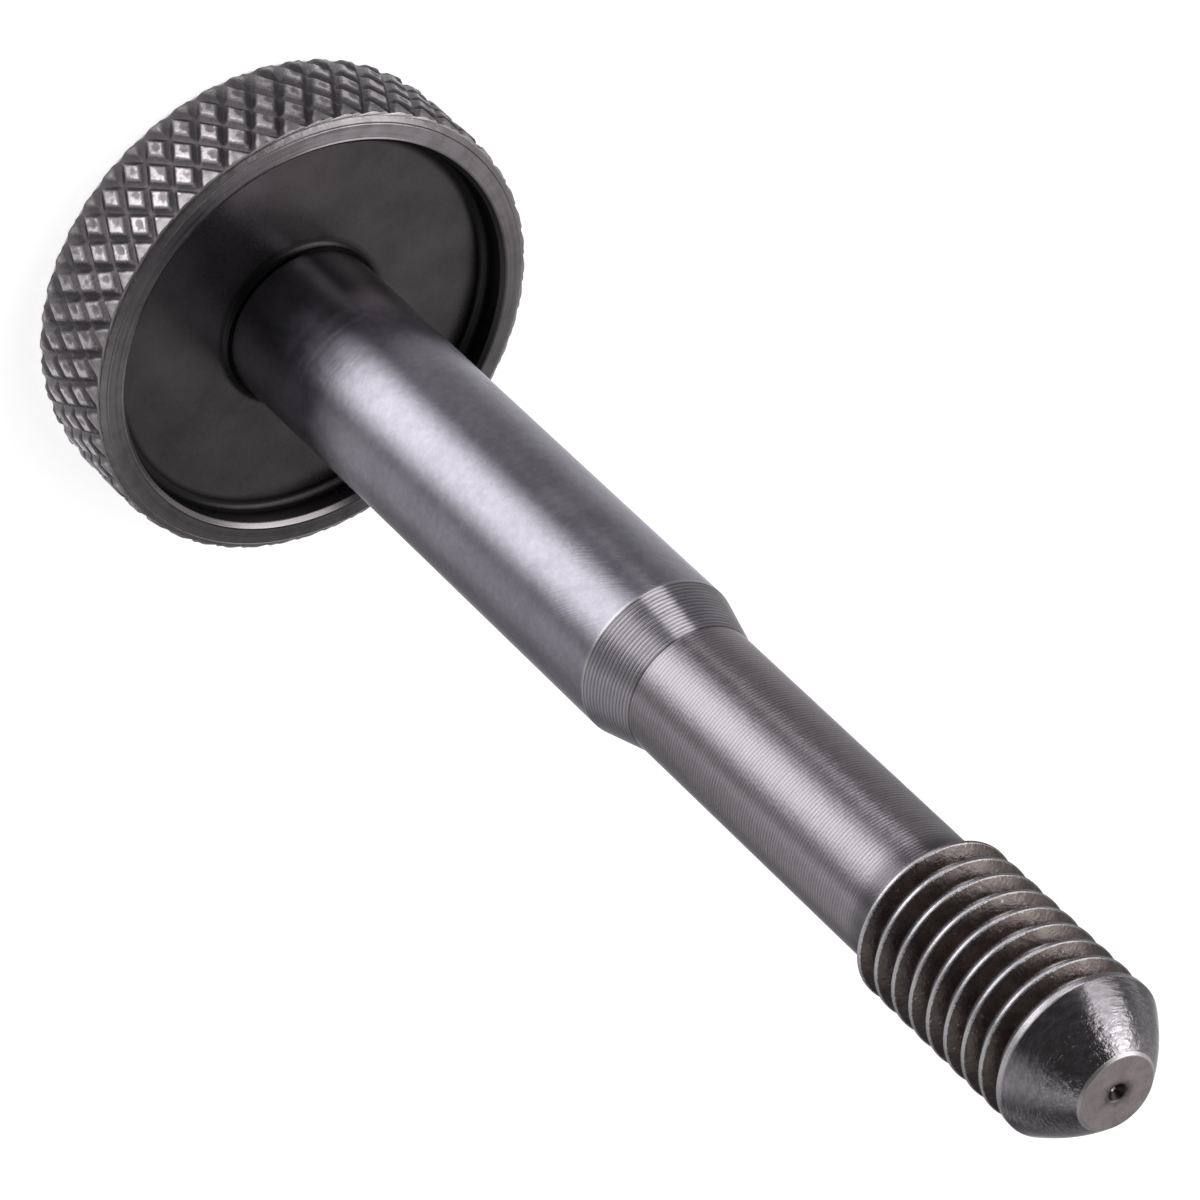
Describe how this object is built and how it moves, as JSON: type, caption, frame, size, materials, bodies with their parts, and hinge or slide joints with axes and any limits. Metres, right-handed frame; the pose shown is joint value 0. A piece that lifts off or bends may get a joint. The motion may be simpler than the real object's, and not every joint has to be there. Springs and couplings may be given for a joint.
{
  "type": "clamp bolt",
  "caption": "Turned steel clamp bolt with a knurled, recessed round head, a plain shank stepped down by a taper to a slimmer neck, and a ridged end of nine parallel rings with a flat-ended cone point.",
  "frame": {"origin": "centre of the outer face of the head, which the bolt stands on", "axes": "+Z along the bolt's axis from the head to the tip; the bolt is round, so X and Y lie across it"},
  "size_m": [0.0236, 0.0236, 0.0693],
  "materials": {
    "steel": "bare turned steel, satin shank with fine turning marks, dark grooves between the ridges"
  },
  "bodies": {
    "root": {"bolt": "steel"}
  },
  "joints": []
}
